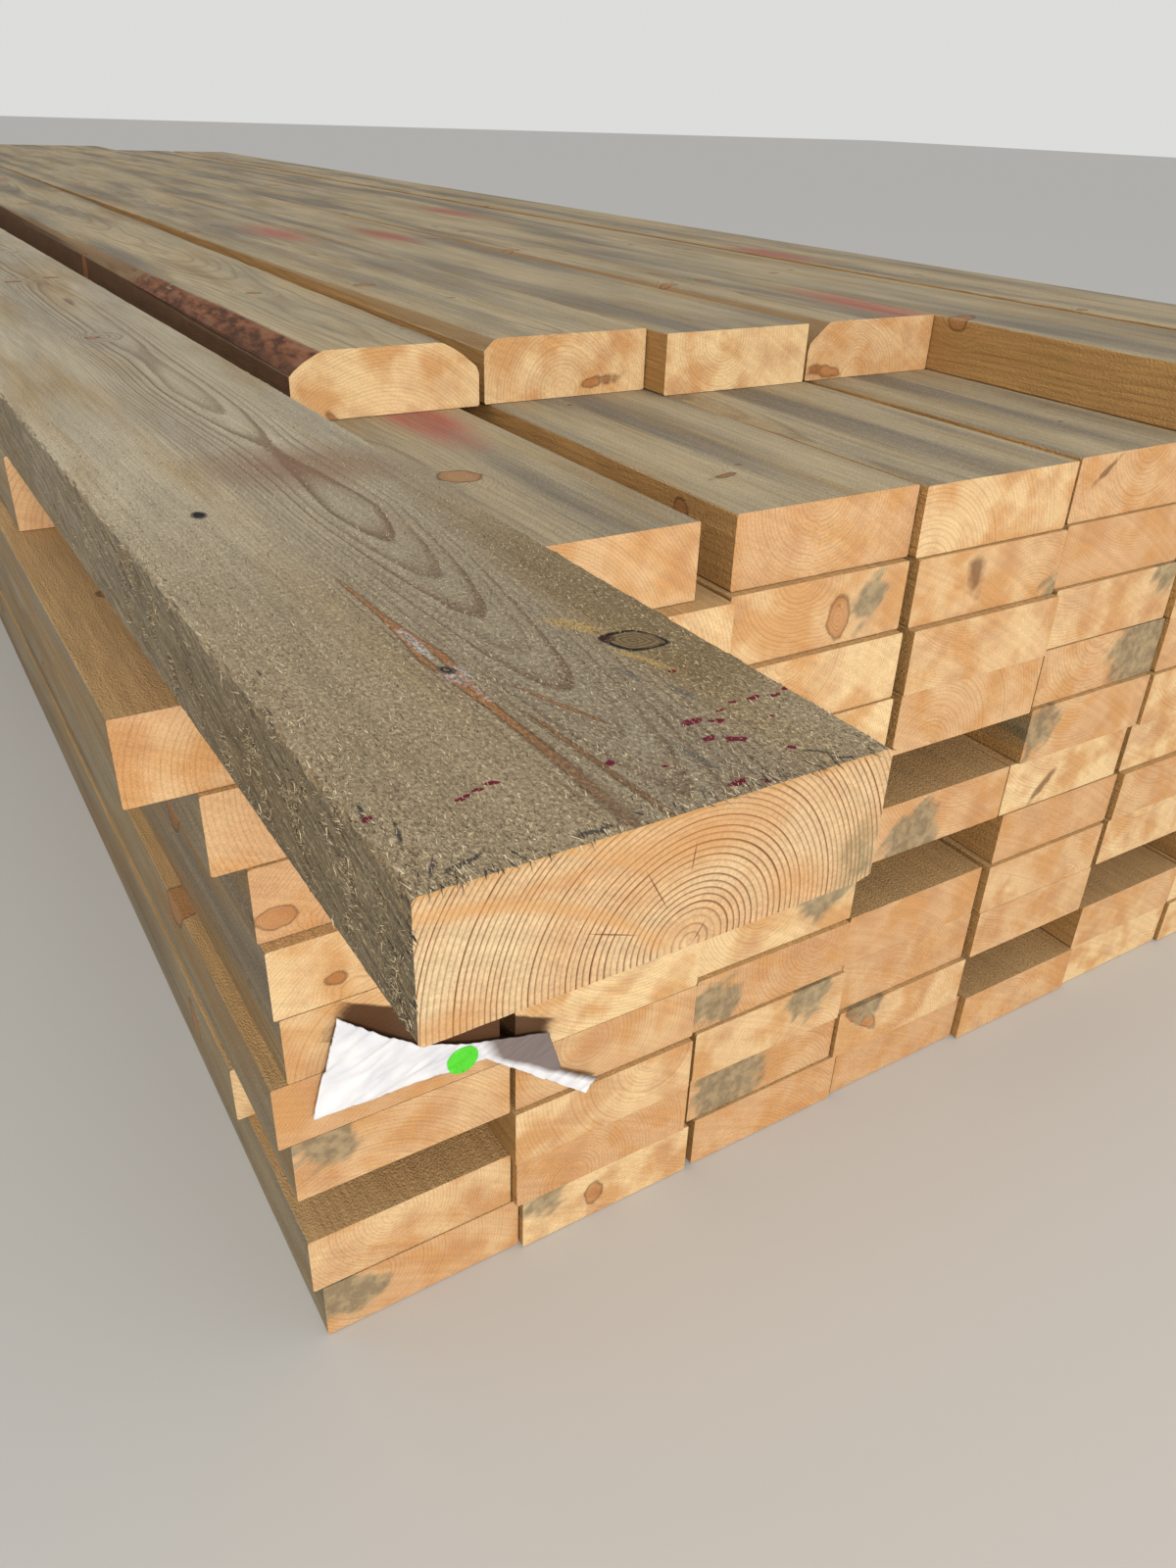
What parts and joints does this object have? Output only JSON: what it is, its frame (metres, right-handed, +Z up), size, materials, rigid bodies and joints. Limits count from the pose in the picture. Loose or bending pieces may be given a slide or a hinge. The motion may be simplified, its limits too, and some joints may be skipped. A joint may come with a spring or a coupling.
{
  "type": "stack of lumber",
  "caption": "Rectangular stack of rough-sawn softwood boards laid flat in close layers, with one top board drawn out at the end and a paper tag on the board ends.",
  "frame": {"origin": "on the ground, at the middle of the stack's underside, in the bottom board of the middle column", "axes": "+Y along the boards, away from the end with the drawn-out board; +X across the stack; +Z up"},
  "size_m": [1.1372, 4.231, 0.588],
  "materials": {
    "sawn_wood": "rough-sawn, dry, greyed on the faces, fresh on the ends",
    "tag_paper": "white coated paper, matt",
    "sticker": "bright green, matt"
  },
  "bodies": {
    "root": {"boards_layer_01": "sawn_wood", "boards_layer_02": "sawn_wood", "boards_layer_03": "sawn_wood", "boards_layer_04": "sawn_wood", "boards_layer_05": "sawn_wood", "boards_layer_06": "sawn_wood", "boards_layer_07": "sawn_wood", "boards_layer_08": "sawn_wood", "boards_layer_09": "sawn_wood", "boards_layer_10": "sawn_wood", "boards_layer_11": "sawn_wood", "boards_layer_12": "sawn_wood", "drawn_out_board": "sawn_wood", "paper_tag": "tag_paper", "tag_sticker": "sticker"}
  },
  "joints": []
}
